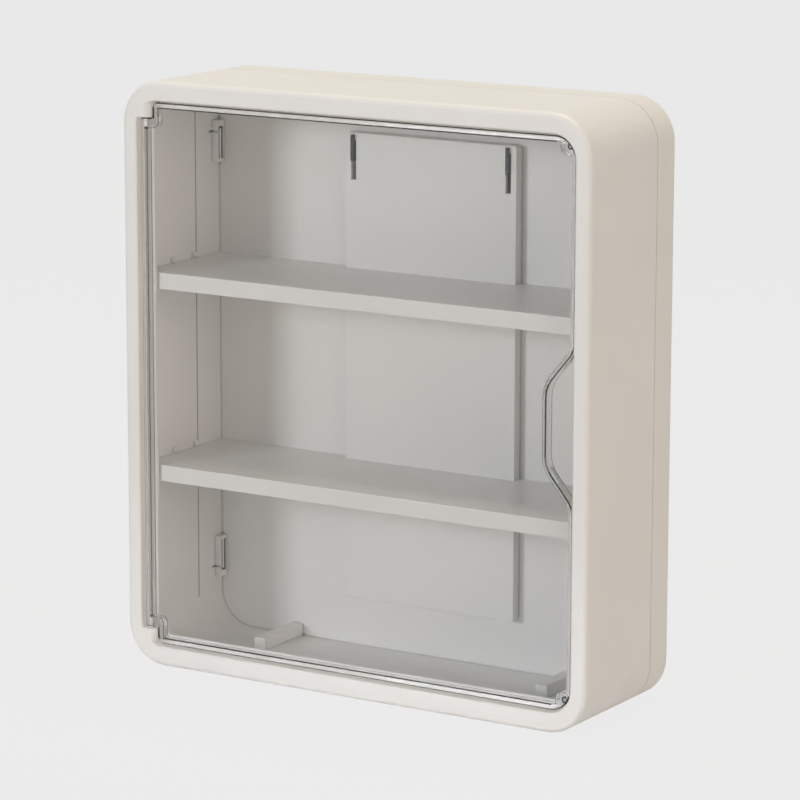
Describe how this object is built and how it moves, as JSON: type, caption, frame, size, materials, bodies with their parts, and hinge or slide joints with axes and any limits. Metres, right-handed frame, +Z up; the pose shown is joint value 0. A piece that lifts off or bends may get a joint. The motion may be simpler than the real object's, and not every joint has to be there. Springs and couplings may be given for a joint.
{
  "type": "wall-mounted medicine organizer",
  "caption": "Shallow wall cabinet with rounded corners, fixed shelves and a clear hinged door tray with a finger notch and magnetic catch.",
  "frame": {"origin": "centre of the underside's bounding rectangle, on the surface that the cabinet stands on", "axes": "+X to the right as one faces the door, +Y towards the wall, +Z up; the front face is at Y = -0.05"},
  "size_m": [0.32, 0.1, 0.358],
  "materials": {
    "white_shell": "fine satin moulding texture",
    "rear_shell": "fine satin moulding texture",
    "white_shelf": "smooth satin",
    "clear_door": "clear and polished",
    "pin_steel": "ground",
    "magnet_metal": "plated",
    "screw_steel": "zinc plated",
    "bracket_steel": "blackened sheet"
  },
  "bodies": {
    "housing": {"front_housing": "white_shell", "rear_housing": "rear_shell", "upper_hinge_pin": "pin_steel", "lower_hinge_pin": "pin_steel", "upper_frame_magnet": "magnet_metal", "lower_frame_magnet": "magnet_metal", "upper_shelf": "white_shelf", "lower_shelf": "white_shelf", "housing_screws": "screw_steel", "wall_bracket": "bracket_steel"},
    "door": {"door": "clear_door", "upper_door_magnet": "magnet_metal", "lower_door_magnet": "magnet_metal"}
  },
  "joints": [
    {"name": "door_hinge", "type": "hinge", "parent": "housing", "child": "door", "pos_m": [-0.1462, -0.0446, 0.179], "axis": [0, 0, -1], "range_deg": [0, 95]}
  ]
}
